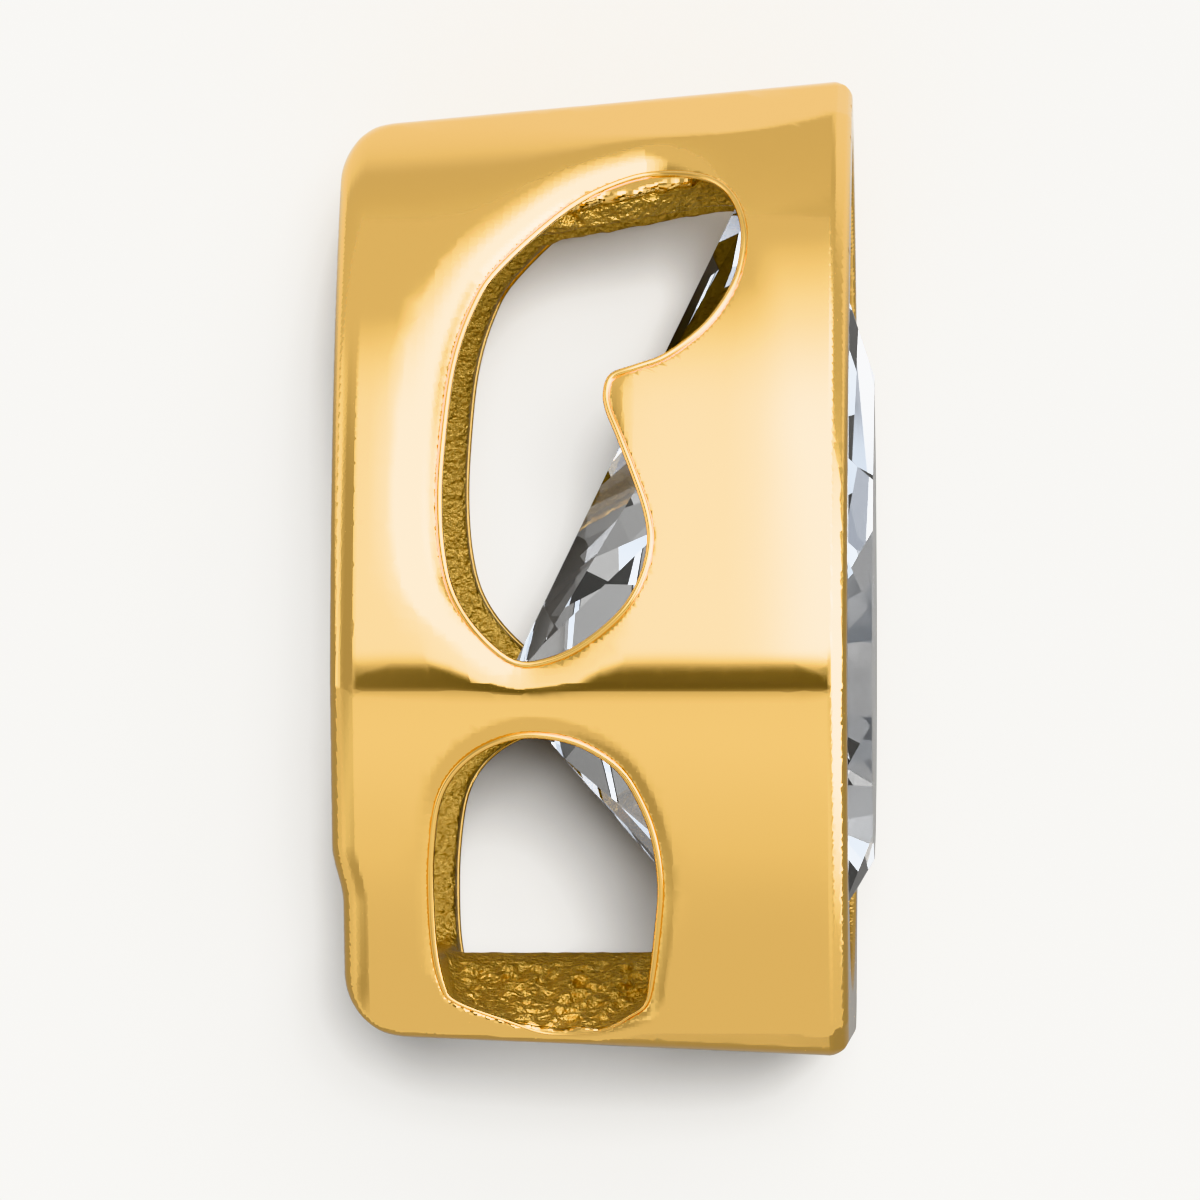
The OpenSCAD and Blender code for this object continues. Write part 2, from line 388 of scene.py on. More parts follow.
@dataclass
class CastBody:
    """The cast gold body, as a field that is negative inside the metal."""

    pear: Pear = field(default_factory=Pear)
    lie: Lie = field(default_factory=Lie)
    grit: CastGrit = field(default_factory=CastGrit)
    edges: Edges = field(default_factory=Edges)
    dish: Dish = field(default_factory=Dish)
    roof: OpeningRoof = field(default_factory=OpeningRoof)
    floor: OpeningFloor = field(default_factory=OpeningFloor)
    name: str = "slide_body_cast"
    # A unit, here and in the roof and floor, is about what turns a height over a slope to a distance.
    front: float = 1.99
    back: float = -1.99
    bezel_wall: float = 0.4
    side_wall: float = 0.5
    bottom_half_width: float = 2.08
    bevel_half_width: float = 1.78
    bevel_drop: float = 2.61
    top_height: float = 4.79
    top_slope: float = 0.096
    top_unit: float = 0.993
    top_wall: float = 0.45
    bottom_drop: float = 2.87
    bottom_slope: float = 0.045
    bottom_unit: float = 0.999
    # Where a side panel starts to fall away, and how fast, toward the back and toward the front.
    back_fall: tuple[float, float] = (0.6, 0.006)
    front_fall: tuple[float, float] = (1.1, 0.05)
    lower_bulge: float = 0.055
    bulge_reach: tuple[float, float] = (-0.3, 1.3)
    rim_depth: float = 0.04
    rim_width: float = 0.17
    # Three points on the top's bevel: one behind the front, one ahead of the back, one at the top.
    bevel_front_point: tuple[float, float, float] = (0.25, 4.42, 0.80)
    bevel_back_point: tuple[float, float, float] = (0.46, 4.06, 1.20)
    bevel_top_half_width: float = 0.12
    # Stretches from front to back over which polishing widens the edges of the two bevels.
    top_polish: tuple[float, float] = (0.9, -1.6)
    bottom_polish: tuple[float, float] = (0.6, -0.8)
    # The back's step in at its lower end: how deep, and the drops where it starts and ends.
    rear_step: float = 0.08
    rear_step_drops: tuple[float, float] = (1.2, 1.65)
    front_chamfer: float = 0.13
    front_slant: tuple[float, float] = (0.62, 0.785)
    back_chamfer: float = 0.12
    back_slant: tuple[float, float] = (0.60, 0.80)
    hollow_floor_half_width: float = 1.75
    hollow_front: float = 1.17
    hollow_skin: float = 0.2
    front_floor_drop: float = 0.33
    front_floor_start: tuple[float, float] = (0.80, 1.0)
    groove_gap: float = 0.03
    groove: tuple[float, float] = (1.16, 1.68)
    lip_reach: float = 0.12
    lip_back: float = 1.60
    # Depths below the outer form over which the gold turns from polished, through painted rim shade, to
    # as-cast.
    cast_and_rim_shade_depths: tuple[float, float] = (0.05, 0.14)
    voxel: float = 0.032
    thinning: float = 0.007
    settling_steps: int = 3
    settling_reach: float = 0.6
    least_slope: float = 0.25
    nudge: float = 0.014
    middle_share: float = 0.8
    large_face: float = 0.030
    crease_degrees: float = 9.0
    widest: float = 2.5
    surface_steps: int = 12
    low: tuple[float, float, float] = (-2.144, -2.992, -3.04)
    high: tuple[float, float, float] = (2.15, 4.93, 3.06)

    def outside(self, p: np.ndarray, q: np.ndarray, w: np.ndarray) -> np.ndarray:
        """Measure the distance to the outer form, before anything is cut from it."""
        edges = self.edges
        out = np.abs(w)
        walls = round_max(self.upper_panel(p, q, out), self.lower_panel(p, q, out), edges.ridge)
        polished = edges.top_bevel_polished * smoothstep(*self.top_polish, p)
        walls = round_max(walls, self.top_bevel(p, q, out), edges.top_bevel + polished)
        polished = edges.bottom_bevel_polished * smoothstep(*self.bottom_polish, p)
        walls = round_max(walls, self.bottom_bevel(q, out), edges.bottom_bevel + polished)
        ahead = self.front - p
        top = (q - self.top_height + self.top_slope * ahead) * self.top_unit
        bottom = -(q + self.bottom_drop - self.bottom_slope * ahead) * self.bottom_unit
        walls = round_max(walls, top, edges.top)
        walls = round_max(walls, bottom, edges.bottom)
        rear = self.back + self.rear_step * smoothstep(*self.rear_step_drops, -q) - p
        along, across = self.front_slant
        front_strip = along * (p - self.front + self.front_chamfer) + across * walls
        along, across = self.back_slant
        back_strip = along * (rear + self.back_chamfer) + across * walls
        walls = round_max(walls, front_strip, edges.front_strip)
        walls = round_max(walls, back_strip, edges.back_strip)
        corners = np.maximum(
            round_max(top, rear, edges.top_back), round_max(bottom, rear, edges.bottom_back)
        )
        walls = round_max(walls, p - self.front, edges.front)
        return round_max(walls, corners, edges.back_corners)

    def barrel(self, p: np.ndarray) -> np.ndarray:
        """Give how far a side panel falls away toward the back and the front."""
        (back_from, back_rate), (front_from, front_rate) = self.back_fall, self.front_fall
        return (
            back_rate * np.maximum(back_from - p, 0.0) ** 2
            + front_rate * np.maximum(p - front_from, 0.0) ** 2
        )

    def upper_panel(self, p: np.ndarray, q: np.ndarray, out: np.ndarray) -> np.ndarray:
        """Measure the distance to the round upper panel and its dish."""
        panel_radius = self.pear.shoulder_radius + self.bezel_wall
        upper = np.hypot(out + self.pear.shoulder_offset, q) - panel_radius + self.barrel(p)
        return upper + self.dish.sunk(p, q)

    def lower_panel(self, p: np.ndarray, q: np.ndarray, out: np.ndarray) -> np.ndarray:
        """Measure the distance to the leaning lower panel, with its slight bulge."""
        ridge = self.pear.end_radius + self.bezel_wall
        lean = (ridge - self.bottom_half_width) / self.bevel_drop
        down = np.clip(-q / self.bevel_drop, *self.bulge_reach)
        lower = (out - ridge - lean * q) / math.hypot(1.0, lean) + self.barrel(p)
        return lower - self.lower_bulge * 4 * down * (1 - down) + self.lower_rim(p, q)

    def lower_rim(self, p: np.ndarray, q: np.ndarray) -> np.ndarray:
        """Give the depth of the narrow rolled rim around the lower opening."""
        near = np.maximum(LIGHT_OPENING.distance(p, q), 0.0)
        return self.rim_depth * np.maximum(1 - near / self.rim_width, 0.0) ** 2

    def top_bevel(self, p: np.ndarray, q: np.ndarray, out: np.ndarray) -> np.ndarray:
        """Measure the distance above the plane that bevels the top, toward the top."""
        behind, height, half_width = self.bevel_front_point
        first = np.array((self.front - behind, height, half_width))
        ahead, height, half_width = self.bevel_back_point
        back = np.array((self.back + ahead, height, half_width))
        top = np.array((self.front, self.top_height, self.bevel_top_half_width))
        normal = np.cross(back - first, top - first)
        normal = normal / np.linalg.norm(normal) * np.sign(normal[1])
        return (p - first[0]) * normal[0] + (q - first[1]) * normal[1] + (out - first[2]) * normal[2]

    def bottom_bevel(self, q: np.ndarray, out: np.ndarray) -> np.ndarray:
        """Measure the distance below the plane that bevels the bottom."""
        fall = self.bottom_drop - self.bevel_drop
        inset = self.bottom_half_width - self.bevel_half_width
        bevel = -(q + self.bevel_drop) * inset + (out - self.bottom_half_width) * fall
        return bevel / math.hypot(inset, fall)

    def hollow(self, p: np.ndarray, q: np.ndarray, w: np.ndarray) -> np.ndarray:
        """Measure the distance to the space behind the stone, negative in it."""
        out = np.abs(w)
        radius = self.pear.shoulder_radius + self.bezel_wall - self.side_wall
        upper = np.hypot(out + self.pear.shoulder_offset, q) - radius
        widest = radius - self.pear.shoulder_offset
        lean = (widest - self.hollow_floor_half_width) / self.floor.drop
        lower = (out - widest - lean * q) / math.hypot(1.0, lean)
        floor = self.floor.drop + self.front_floor_drop * smoothstep(*self.front_floor_start, p)
        low = -(q + floor)
        high = q - (self.top_height - self.top_wall) + self.top_slope * (self.front - p)
        space = np.maximum(upper, lower)
        space = round_max(space, low, self.edges.hollow_ends)
        space = round_max(space, high, self.edges.hollow_ends)
        return np.maximum(space, p - self.hollow_front)

    def seat(self, p: np.ndarray, q: np.ndarray, w: np.ndarray) -> np.ndarray:
        """Measure the distance to the groove and lip that hold the stone."""
        edge = self.pear.distance(q, w)
        start, end = self.groove
        groove = np.maximum(edge - self.groove_gap, np.maximum(start - p, p - end))
        lip = np.maximum(edge + self.lip_reach, self.lip_back - p)
        return np.minimum(groove, lip)

    def openings(
        self, p: np.ndarray, q: np.ndarray, w: np.ndarray, skin: np.ndarray
    ) -> tuple[np.ndarray, np.ndarray]:
        """Measure the distances to the upper and the lower opening, negative in them.

        Args:
            p: Coordinates toward the front.
            q: Coordinates up the pendant.
            w: Coordinates across it.
            skin: Heights of the uneven cast skin.

        Returns:
            The two distances.
        """
        out = np.abs(w)
        roof = self.roof.above(p, q, out) + skin * smoothstep(*self.roof.roughening, out)
        upper = round_max(CHAIN_OPENING.distance(p, q), roof, self.edges.roof)
        floor = self.floor.below(q, out) + skin * smoothstep(*self.floor.roughening, out)
        lower = round_max(LIGHT_OPENING.distance(p, q), floor, self.edges.floor)
        return upper, lower

    def field(self, points: np.ndarray) -> np.ndarray:
        """Measure the metal's field at rows of p, q, w in millimetres."""
        p, q, w = points.T
        skin = self.grit.heights(points)
        space = -self.hollow(p, q, w) - skin * self.hollow_skin
        metal = round_max(self.outside(p, q, w), space, self.edges.hollow)
        metal = round_max(metal, -self.seat(p, q, w), self.edges.seat)
        upper, lower = self.openings(p, q, w, skin)
        metal = round_max(metal, -upper, self.edges.opening)
        return round_max(metal, -lower, self.edges.opening)

    def mesh(self) -> tuple[np.ndarray, list[list[int]], np.ndarray]:
        """Turn the field into a mesh.

        Returns:
            Vertices in millimetres, faces and the field's direction at each face's corners.
        """
        axes = [np.arange(a, b, self.voxel) for a, b in zip(self.low, self.high)]
        grid = np.stack(np.meshgrid(*axes, indexing="ij"), -1)
        values = np.stack([self.field(layer.reshape(-1, 3)).reshape(layer.shape[:2]) for layer in grid])
        volume = openvdb.FloatGrid(background=1.0)
        volume.copyFromArray(np.clip(values, -1, 1).astype(np.float32))
        points, triangles, quads = volume.convertToPolygons(isovalue=0.0, adaptivity=self.thinning)
        points = self.settled(np.array(self.low) + points * self.voxel)
        faces = triangles.tolist() + quads.tolist()
        return points, faces, self.corner_directions(points, triangles, quads)

    def settled(self, points: np.ndarray) -> np.ndarray:
        """Move rows of points onto the field's surface, and none of them far."""
        start = points
        for _ in range(self.settling_steps):
            value, slope = self.slopes(points)
            step = value / np.maximum((slope**2).sum(1), self.least_slope)
            points = points - slope * np.clip(step, -self.voxel / 2, self.voxel / 2)[:, None]
        reach = self.settling_reach * self.voxel
        return start + np.clip(points - start, -reach, reach)

    def corner_directions(
        self, points: np.ndarray, triangles: np.ndarray, quads: np.ndarray
    ) -> np.ndarray:
        """Give the field's direction at each face's corners, so that a crease stays crisp.

        Args:
            points: Vertices in millimetres.
            triangles: Rows of three vertex numbers.
            quads: Rows of four vertex numbers.

        Returns:
            Directions taken just inside each face, or near its middle where a large face ends at
            a crease.
        """
        corners = np.concatenate((triangles.ravel(), quads.ravel())).astype(int)
        middles = np.concatenate((
            np.repeat(points[triangles].mean(1), 3, 0), np.repeat(points[quads].mean(1), 4, 0)
        ))
        inward = middles - points[corners]
        size = np.maximum(np.linalg.norm(inward, axis=1, keepdims=True), 1e-9)
        just_inside = np.minimum(self.middle_share, self.nudge / size)
        near = self.direction(points[corners] + inward * just_inside)
        far = self.direction(points[corners] + self.middle_share * inward)
        turned = (near * far).sum(1) < math.cos(math.radians(self.crease_degrees))
        stray = turned & (size[:, 0] > self.large_face)
        return np.where(stray[:, None], far, near)

    def direction(self, points: np.ndarray) -> np.ndarray:
        """Give the field's gradient at rows of points, at unit length."""
        slope = self.slopes(points)[1]
        return slope / np.maximum(np.linalg.norm(slope, axis=1, keepdims=True), 1e-9)

    def slopes(self, points: np.ndarray) -> tuple[np.ndarray, np.ndarray]:
        """Measure the field and its gradient at rows of points."""
        tiny = 0.004
        value = self.field(points)
        slope = [
            (self.field(points + tiny * step) - self.field(points - tiny * step)) / (2 * tiny)
            for step in np.eye(3)
        ]
        return value, np.stack(slope, 1)

    def surface_w(self, points: np.ndarray) -> np.ndarray:
        """Find how far out the outer form lies over rows of p, q."""
        w = np.full(len(points), self.widest)
        for _ in range(self.surface_steps):
            w -= self.outside(points[:, 0], points[:, 1], w)
        return w

    def build(self) -> bpy.types.Object:
        """Make the body's object in the frame."""
        points, faces, slope = self.mesh()
        mesh = bpy.data.meshes.new(self.name)
        mesh.from_pydata(self.lie.place(points), [], faces)
        mesh.polygons.foreach_set("use_smooth", np.ones(len(faces), bool))
        depth = -self.outside(*points.T)
        # The depth below the outer form drives the rough as-cast skin and, in the gold's colour, the
        # painted shade on the rims.
        raw = mesh.attributes.new("as_cast", "FLOAT", "POINT")
        raw.data.foreach_set("value", smoothstep(*self.cast_and_rim_shade_depths, depth).astype(np.float32))
        mesh.update()
        mesh.normals_split_custom_set(self.lie.turn(slope).tolist())
        piece = bpy.data.objects.new(self.name, mesh)
        bpy.context.scene.collection.objects.link(piece)
        return piece


@dataclass
class RolledRims:
    """Fine beads of metal that polishing rolls up around the edges of the openings."""

    body: CastBody
    name: str = "slide_body_rims"
    radius: float = 0.027
    sides: int = 12
    path_steps: int = 5
    probe: float = 0.03
    sink: float = 0.006
    far_sink: float = 0.003
    outset: float = 0.008
    # The bead's thinnest share, and the heights between which it thins toward the bottom.
    thinnest: float = 0.35
    thinning_heights: tuple[float, float] = (-2.55, -2.15)

    def path(self, opening: Opening, side: int) -> tuple[np.ndarray, np.ndarray]:
        """Follow an opening's edge over the outer form.

        Args:
            opening: The opening.
            side: 1 for the near side wall, -1 for the far one.

        Returns:
            Points in millimetres, and the bead's relative thickness at each.
        """
        loop = smooth_loop(opening.edge, self.path_steps)
        along = np.roll(loop, -1, 0) - np.roll(loop, 1, 0)
        along /= np.linalg.norm(along, axis=1, keepdims=True)
        turn = np.stack((along[:, 1], -along[:, 0]), 1)
        if opening.distance(*(loop[:1] + self.probe * turn[:1]).T)[0] < 0:
            turn = -turn
        loop = loop + self.outset * turn
        w = self.body.surface_w(loop) - (self.sink if side > 0 else self.radius + self.far_sink)
        rise = smoothstep(*self.thinning_heights, loop[:, 1])
        thick = self.thinnest + (1 - self.thinnest) * rise
        return np.column_stack((loop, side * w)), thick

    def tree(self, material: bpy.types.Material) -> bpy.types.NodeTree:
        """Build the nodes that sweep a round bead along the paths."""
        tree = bpy.data.node_groups.new("rolled_rim", "GeometryNodeTree")
        tree.interface.new_socket("Geometry", in_out="INPUT", socket_type="NodeSocketGeometry")
        for name in ("Bead radius", "Bead sides"):
            kind = "NodeSocketInt" if name == "Bead sides" else "NodeSocketFloat"
            tree.interface.new_socket(name, in_out="INPUT", socket_type=kind)
        tree.interface.new_socket("Geometry", in_out="OUTPUT", socket_type="NodeSocketGeometry")
        given = add(tree, "NodeGroupInput").outputs
        curve = add(tree, "GeometryNodeMeshToCurve", {"Mesh": given["Geometry"]}).outputs[0]
        thick = add(
            tree, "GeometryNodeInputNamedAttribute", {"Name": "thickness"}, data_type="FLOAT"
        ).outputs["Attribute"]
        curve = add(
            tree, "GeometryNodeSetCurveRadius", {"Curve": curve, "Radius": thick}
        ).outputs[0]
        ring = add(
            tree, "GeometryNodeCurvePrimitiveCircle",
            {"Resolution": given["Bead sides"], "Radius": given["Bead radius"]},
        ).outputs[0]
        bead = add(
            tree, "GeometryNodeCurveToMesh", {"Curve": curve, "Profile Curve": ring, "Scale": thick}
        ).outputs[0]
        bead = add(tree, "GeometryNodeSetShadeSmooth", {0: bead}).outputs[0]
        bead = add(tree, "GeometryNodeRealizeInstances", {"Geometry": bead}).outputs[0]
        bead = add(
            tree, "GeometryNodeSetMaterial", {"Geometry": bead, "Material": material}
        ).outputs[0]
        add(tree, "NodeGroupOutput", {"Geometry": bead})
        return tree

    def build(self, material: bpy.types.Material) -> bpy.types.Object:
        """Make the beads around both openings, on both side walls."""
        points, edges, thickness = [], [], []
        for opening in (CHAIN_OPENING, LIGHT_OPENING):
            for side in (1, -1):
                path, thick = self.path(opening, side)
                start, count = len(points), len(path)
                points += self.body.lie.place(path).tolist()
                edges += [(start + i, start + (i + 1) % count) for i in range(count)]
                thickness += thick.tolist()
        mesh = bpy.data.meshes.new("rim_paths")
        mesh.from_pydata(points, edges, [])
        mesh.attributes.new("thickness", "FLOAT", "POINT").data.foreach_set("value", thickness)
        sizes = {"Bead radius": self.radius * MM, "Bead sides": self.sides}
        return grown(self.name, mesh, self.tree(material), sizes)


def grown(
    name: str, mesh: bpy.types.Mesh, tree: bpy.types.NodeTree, sizes: dict[str, float]
) -> bpy.types.Object:
    """Run a geometry tree on a mesh and keep its result as a plain mesh.

    Args:
        name: Name of the object.
        mesh: Mesh that the tree starts from.
        tree: Geometry node tree.
        sizes: Values for the tree's named inputs.

    Returns:
        The object, with the plain mesh and no modifier.
    """
    piece = bpy.data.objects.new(name, mesh)
    bpy.context.scene.collection.objects.link(piece)
    modifier = piece.modifiers.new(tree.name, "NODES")
    modifier.node_group = tree
    for item in tree.interface.items_tree:
        if item.in_out == "INPUT" and item.name in sizes:
            modifier[item.identifier] = sizes[item.name]
    result = bpy.data.meshes.new_from_object(piece.evaluated_get(bpy.context.evaluated_depsgraph_get()))
    piece.modifiers.remove(modifier)
    piece.data = result
    result.name = name
    return piece


@dataclass(frozen=True)
class PolishedGold:
    """Yellow gold, 14 karat, cast and then polished outside, which gives a mirror with a warm body; a dark
    stop in its colour paints shade on the rims of the openings.
    """

    name: str = "yellow_gold_cast_polished"
    base: str = "#F7C977"
    # Painted shade: the dark brown laid on the rounded rims where the polished outside turns in toward the
    # openings and the hollow.
    edge: str = "#8F6A2C"
    raw: str = "#C6A158"
    painted_rim_shade_share: float = 0.35
    roughness: tuple[float, float] = (0.07, 0.33)
    # Grains and polishing waves in a millimetre, and how deep each looks in millimetres.
    grains: float = 22.0
    grain_depth: float = 0.06
    waves: float = 0.9
    wave_depth: float = 0.006
    wave_strength: float = 0.5

    def material(self) -> bpy.types.Material:
        """Build the material."""
        made = bpy.data.materials.new(self.name)
        made.use_nodes = True
        tree = made.node_tree
        tree.nodes.clear()
        place = add(tree, "ShaderNodeTexCoord").outputs["Object"]
        raw = add(tree, "ShaderNodeAttribute", attribute_name="as_cast").outputs["Fac"]
        grain = add(tree, "ShaderNodeTexNoise", {"Vector": place, "Scale": self.grains / MM, "Detail": 3.0})
        wave = add(tree, "ShaderNodeTexNoise", {"Vector": place, "Scale": self.waves / MM, "Detail": 1.0})
        colour = add(tree, "ShaderNodeValToRGB", {"Fac": raw})
        stops = colour.color_ramp.elements
        stops[0].color, stops[1].color = linear(self.base), linear(self.raw)
        # Painted shade: the dark stop between the polished and the as-cast colour darkens the rims.
        stops.new(self.painted_rim_shade_share).color = linear(self.edge)
        polished, as_cast = self.roughness
        rough = add(tree, "ShaderNodeMapRange", {"Value": raw, "To Min": polished, "To Max": as_cast})
        pits = add(
            tree, "ShaderNodeMath", {0: grain.outputs["Fac"], 1: raw}, operation="MULTIPLY"
        )
        sheen = add(
            tree, "ShaderNodeBump",
            {"Height": wave.outputs["Fac"], "Strength": self.wave_strength,
             "Distance": self.wave_depth * MM},
        )
        bump = add(
            tree, "ShaderNodeBump",
            {"Height": pits.outputs[0], "Strength": 1.0, "Distance": self.grain_depth * MM,
             "Normal": sheen.outputs["Normal"]},
        )
        shader = add(
            tree, "ShaderNodeBsdfPrincipled",
            {
                "Base Color": colour.outputs["Color"], "Metallic": 1.0,
                "Roughness": rough.outputs["Result"], "Normal": bump.outputs["Normal"],
            },
        )
        add(tree, "ShaderNodeOutputMaterial", {"Surface": shader.outputs[0]})
        return made


@dataclass(frozen=True)
class ClearStone:
    """Cubic zirconia, cut and polished: colourless, with strong refraction between flat facets."""

    name: str = "cubic_zirconia_faceted"
    tint: str = "#FCFDFF"
    ior: float = 2.15

    def material(self) -> bpy.types.Material:
        """Build the material."""
        made = bpy.data.materials.new(self.name)
        made.use_nodes = True
        tree = made.node_tree
        tree.nodes.clear()
        shader = add(
            tree, "ShaderNodeBsdfPrincipled",
            {
                "Base Color": linear(self.tint), "Roughness": 0.0, "IOR": self.ior,
                "Transmission Weight": 1.0,
            },
        )
        add(tree, "ShaderNodeOutputMaterial", {"Surface": shader.outputs[0]})
        return made


class Side(Enum):
    """Directions in the picture, as the pendant's own axes p, q and w."""

    RIGHT = Vector((1, 0, 0))
    UP = Vector((0, 1, 0))
    VIEWER = Vector((0, 0, 1))


@dataclass(frozen=True)
class Card:
    """A soft-edged patch of light, or of shade if negative: its edges and their softness in degrees."""

    low: float
    high: float
    left: float
    right: float
    strength: float
    soft: tuple[float, float, float, float]


@dataclass(frozen=True)
class Lamp:
    """A soft lamp far away: its strength, its spread and its tilt from the line of sight, in degrees."""

    name: str
    strength: float
    spread: float
    right: float
    up: float


@dataclass(frozen=True)
class Fade:
    """A painted shade on the floor where the gold mirrors it, changing along an axis: two places in
    millimetres, two levels.
    """

    axis: str
    start: float
    end: float
    first: float
    last: float


@dataclass
class Studio:
    """The pale floor, the soft light and the camera."""

    lie: Lie = field(default_factory=Lie)
    turn: float = 1.9
    distance: float = 120.0
    view_width: float = 9.44
    target: tuple[float, float, float] = (0.0, 0.686, 0.0)
    floor_size: float = 0.6
    floor_colour: str = "#F4F3F0"
    ambient: float = 0.82
    floor_light: float = 0.30
    mirrored_loss: float = 0.8
    # Painted shade on the floor as the gold mirrors it: darkest toward the pendant's lower end, darker
    # again far beyond its tip, and a little darker far toward its front.
    painted_floor_shades: tuple[Fade, ...] = (
        Fade("Y", 1.0, 5.0, 0.32, 0.84),
        Fade("Y", 6.5, 10.5, 1.0, 0.62),
        Fade("X", 3.0, 9.0, 1.0, 0.88),
    )
    backdrop_colour: str = "#FBFAF7"
    backdrop_light: float = 1.4
    lamps: tuple[Lamp, ...] = (
        Lamp("broad_lamp", 2.2, 34.0, 9.0, 16.0),
        Lamp("near_lamp", 2.6, 12.0, 5.0, 5.0),
    )
    dark_cards: tuple[Card, ...] = (
        Card(-15, 2.75, -10, 35, -0.78, (5, 1.6, 7, 12)),
        Card(-60, 42, -56, -20, -0.38, (10, 14, 8, 8)),
    )
    cards: tuple[Card, ...] = (
        Card(4.8, 53, -14, 66, 1.7, (1.15, 10, 6, 10)),
        Card(4.8, 58, -4, 66, 2.3, (1.15, 12, 5, 10)),
        Card(4.8, 68, 3.5, 66, 1.6, (1.15, 10, 4, 10)),
        Card(4.8, 50, 3.5, 66, 4.0, (1.15, 12, 4, 10)),
        Card(-8, 32, -112, -64, 1.3, (8, 14, 10, 8)),
        Card(-19.5, 19, 55, 130, 12.0, (3, 12, 12, 14)),
        Card(-33, -24, -60, 60, 0.5, (8, 6, 14, 14)),
    )
    card_colour: str = "#F7FFFF"
    gap_scale: float = 24.0
    gap_light: float = 3.0
    gap_tones: tuple[tuple[float, str], ...] = (
        (0.36, "#70757D"), (0.43, "#A9B1BB"), (0.49, "#D0D7DF"), (0.56, "#EEF1F5"), (0.66, "#FFFFFF")
    )

    def axis(self, side: Side) -> Vector:
        """Give a direction of the picture in the frame."""
        return (self.lie.matrix().to_3x3() @ side.value).normalized()

    def camera(self) -> bpy.types.Object:
        """Set the camera at the photo's angle to the pendant."""
        a = math.radians(self.turn)
        back = self.axis(Side.RIGHT) * math.sin(a) + self.axis(Side.VIEWER) * math.cos(a)
        up = self.axis(Side.UP)
        across = up.cross(back).normalized()
        target = self.lie.matrix() @ Vector(self.target)
        data = bpy.data.cameras.new("camera")
        data.sensor_width = 36.0
        data.lens = data.sensor_width * self.distance / self.view_width
        data.clip_start, data.clip_end = 0.001, 10.0
        camera = bpy.data.objects.new("camera", data)
        turned = Matrix((across, up, back)).transposed().to_4x4()
        camera.matrix_world = Matrix.Translation(target + back * self.distance * MM) @ turned
        bpy.context.scene.collection.objects.link(camera)
        bpy.context.scene.camera = camera
        return camera

    def floor(self) -> bpy.types.Object:
        """Lay the pale floor under the pendant: plain to the camera, with painted shade where the gold
        mirrors it.
        """
        half = self.floor_size / 2
        mesh = bpy.data.meshes.new("floor")
        mesh.from_pydata([(-half, -half, 0), (half, -half, 0), (half, half, 0), (-half, half, 0)],
                         [], [(0, 1, 2, 3)])
        floor = bpy.data.objects.new("floor", mesh)
        bpy.context.scene.collection.objects.link(floor)
        made = bpy.data.materials.new("pale_paper_painted_shade_in_reflections")
        made.use_nodes = True
        tree = made.node_tree
        tree.nodes.clear()
        place = add(tree, "ShaderNodeTexCoord").outputs["Object"]
        place = add(tree, "ShaderNodeSeparateXYZ", {0: place}).outputs
        mirrored = 1.0
        for fade in self.painted_floor_shades:
            level = add(
                tree, "ShaderNodeMapRange",
                {"Value": place[fade.axis], "From Min": fade.start * MM, "From Max": fade.end * MM,
                 "To Min": fade.first, "To Max": fade.last},
                interpolation_type="SMOOTHSTEP",
            ).outputs["Result"]
            mirrored = add(
                tree, "ShaderNodeMath", {0: mirrored, 1: level}, operation="MULTIPLY"
            ).outputs[0]
        # Painted shade: glossy rays see the floor darkened by these fades, while the camera sees it plain.
        seen = add(tree, "ShaderNodeLightPath").outputs["Is Glossy Ray"]
        tone = add(tree, "ShaderNodeMix", {"Factor": seen, 2: 1.0, 3: mirrored}).outputs[0]
        colour = add(
            tree, "ShaderNodeVectorMath",
            {0: linear(self.floor_colour)[:3], "Scale": tone}, operation="SCALE",
        ).outputs[0]
        shader = add(
            tree, "ShaderNodeBsdfPrincipled",
            {"Base Color": colour, "Roughness": 0.9, "Specular IOR Level": 0.1},
        )
        add(tree, "ShaderNodeOutputMaterial", {"Surface": shader.outputs[0]})
        mesh.materials.append(made)
        return floor

    def hang(self, lamp: Lamp) -> bpy.types.Object:
        """Hang a lamp that casts the pendant's shadow: near the camera, above and to its right."""
        data = bpy.data.lights.new(lamp.name, "SUN")
        data.energy = lamp.strength
        data.angle = math.radians(lamp.spread)
        right, up = (math.tan(math.radians(a)) for a in (lamp.right, lamp.up))
        way = self.axis(Side.VIEWER) + self.axis(Side.RIGHT) * right + self.axis(Side.UP) * up
        hung = bpy.data.objects.new(lamp.name, data)
        hung.rotation_euler = way.to_track_quat("Z", "Y").to_euler()
        hung.visible_glossy = False
        hung.visible_transmission = False
        bpy.context.scene.collection.objects.link(hung)
        return hung

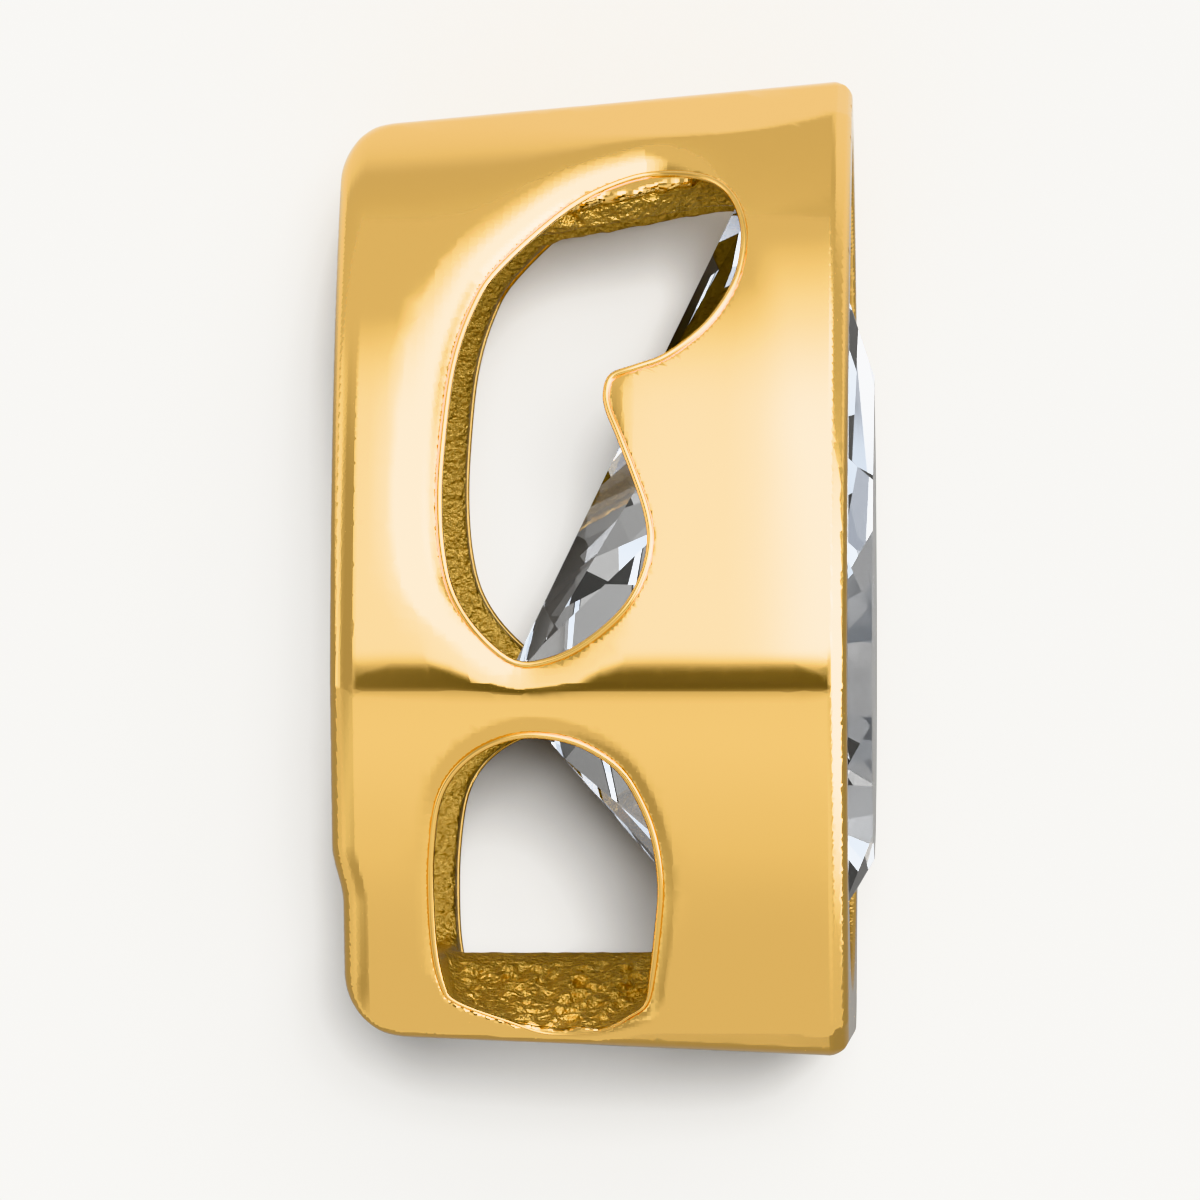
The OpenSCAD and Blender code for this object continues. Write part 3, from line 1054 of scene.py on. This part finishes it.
    def light(self) -> None:
        """Build the soft studio light around the pendant as a world with soft-edged cards."""
        world = bpy.data.worlds.new("studio")
        bpy.context.scene.world = world
        world.cycles.sampling_method = "NONE"
        world.use_nodes = True
        tree = world.node_tree
        tree.nodes.clear()
        way = add(tree, "ShaderNodeTexCoord").outputs["Generated"]
        path = add(tree, "ShaderNodeLightPath").outputs
        after = {}
        for kind in ("Diffuse", "Glossy", "Transmission"):
            after[kind] = add(
                tree, "ShaderNodeMath", {0: path[f"{kind} Depth"], 1: 0.5}, operation="GREATER_THAN"
            ).outputs[0]
        soft = add(
            tree, "ShaderNodeMath",
            {0: after["Glossy"], 1: -self.mirrored_loss * self.floor_light, 2: self.floor_light},
            operation="MULTIPLY_ADD",
        ).outputs[0]
        under = add(tree, "ShaderNodeBackground", {"Color": (1, 1, 1, 1), "Strength": soft})
        plain = add(
            tree, "ShaderNodeBackground",
            {"Color": linear(self.backdrop_colour), "Strength": self.backdrop_light},
        )
        mix = self.studio_light(tree, way)
        for when, light in (
            (after["Transmission"], self.broken_light(tree, way)),
            (after["Diffuse"], under.outputs[0]),
            (path["Is Camera Ray"], plain.outputs[0]),
        ):
            mix = add(tree, "ShaderNodeMixShader", {0: when, 1: mix, 2: light}).outputs[0]
        add(tree, "ShaderNodeOutputWorld", {"Surface": mix})

    def studio_light(
        self, tree: bpy.types.NodeTree, way: bpy.types.NodeSocket
    ) -> bpy.types.NodeSocket:
        """Light the gold from soft-edged cards in a plain room that has two darker places.

        Args:
            tree: Node tree of the world.
            way: Socket that gives the direction.

        Returns:
            The socket that gives the light.
        """
        dots = {}
        for side in Side:
            dots[side] = add(
                tree, "ShaderNodeVectorMath", {0: way, 1: self.axis(side)}, operation="DOT_PRODUCT"
            ).outputs["Value"]
        rise = add(tree, "ShaderNodeMath", {0: dots[Side.UP]}, operation="ARCSINE").outputs[0]
        swing = add(
            tree, "ShaderNodeMath", {0: dots[Side.RIGHT], 1: dots[Side.VIEWER]}, operation="ARCTAN2"
        ).outputs[0]
        sums = []
        for cards, total in ((self.cards, 0.0), (self.dark_cards, 1.0)):
            for card in cards:
                high = self.window(tree, rise, card.low, card.high, card.soft[:2], card.strength)
                wide = self.window(tree, swing, card.left, card.right, card.soft[2:], 1.0)
                total = add(
                    tree, "ShaderNodeMath", {0: high, 1: wide, 2: total}, operation="MULTIPLY_ADD"
                ).outputs[0]
            sums.append(total)
        room = add(tree, "ShaderNodeMath", {0: sums[1], 1: self.ambient}, operation="MULTIPLY")
        bright = add(
            tree, "ShaderNodeBackground", {"Color": linear(self.card_colour), "Strength": sums[0]}
        )
        around = add(
            tree, "ShaderNodeBackground", {"Color": (1, 1, 1, 1), "Strength": room.outputs[0]}
        )
        return add(
            tree, "ShaderNodeAddShader", {0: bright.outputs[0], 1: around.outputs[0]}
        ).outputs[0]

    def broken_light(
        self, tree: bpy.types.NodeTree, way: bpy.types.NodeSocket
    ) -> bpy.types.NodeSocket:
        """Light the stone from a studio of small lamps and dark gaps, so its facets sparkle.

        Args:
            tree: Node tree of the world.
            way: Socket that gives the direction.

        Returns:
            The socket that gives the light.
        """
        cells = add(
            tree, "ShaderNodeTexNoise",
            {"Vector": way, "Scale": self.gap_scale, "Detail": 2.0, "Roughness": 0.6},
        ).outputs["Fac"]
        ramp = add(tree, "ShaderNodeValToRGB", {"Fac": cells})
        ramp.color_ramp.interpolation = "LINEAR"
        stops = ramp.color_ramp.elements
        darkest, *between, lightest = self.gap_tones
        for stop, (place, colour) in zip(stops, (darkest, lightest)):
            stop.position, stop.color = place, linear(colour)
        for place, colour in between:
            stops.new(place).color = linear(colour)
        return add(
            tree, "ShaderNodeBackground", {"Color": ramp.outputs["Color"], "Strength": self.gap_light}
        ).outputs[0]

    @staticmethod
    def window(
        tree: bpy.types.NodeTree, angle: bpy.types.NodeSocket, low: float, high: float,
        soft: tuple[float, float], strength: float,
    ) -> bpy.types.NodeSocket:
        """Fade in past one angle and out before another.

        Args:
            tree: Node tree of the world.
            angle: Socket that gives the angle in radians.
            low: Middle of the lower edge, in degrees.
            high: Middle of the upper edge, in degrees.
            soft: Half widths of the two edges, in degrees.
            strength: Value between the edges.

        Returns:
            The socket that gives the value.
        """
        values = []
        for middle, half, start, end in ((low, soft[0], 0.0, strength), (high, soft[1], 1.0, 0.0)):
            values.append(add(
                tree, "ShaderNodeMapRange",
                {"Value": angle, "From Min": math.radians(middle - half),
                 "From Max": math.radians(middle + half), "To Min": start, "To Max": end},
                interpolation_type="SMOOTHSTEP",
            ).outputs["Result"])
        return add(tree, "ShaderNodeMath", {0: values[0], 1: values[1]}, operation="MULTIPLY").outputs[0]


def main() -> None:
    """Build the pendant and its studio in order."""
    logging.basicConfig(level=logging.INFO, format="%(name)s: %(message)s")
    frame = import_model()
    scene = bpy.context.scene
    scene.view_settings.view_transform = "Khronos PBR Neutral"

    studio = Studio()
    studio.camera()
    studio.floor()
    for lamp in studio.lamps:
        studio.hang(lamp)
    studio.light()

    gold = PolishedGold().material()
    cast = CastBody()
    body = cast.build()
    body.data.materials.append(gold)
    rims = RolledRims(cast).build(gold)
    for piece in (body, rims):
        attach(piece, "root")
        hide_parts("slide_body")
        piece.visible_transmission = False
        LOG.info("%s: %d faces", piece.name, len(piece.data.polygons))

    stone = frame["nodes"]["pear_stone"]
    stone.material_slots[0].material = ClearStone().material()
    LOG.info("pear_stone: dressed")


if __name__ == "__main__":
    main()
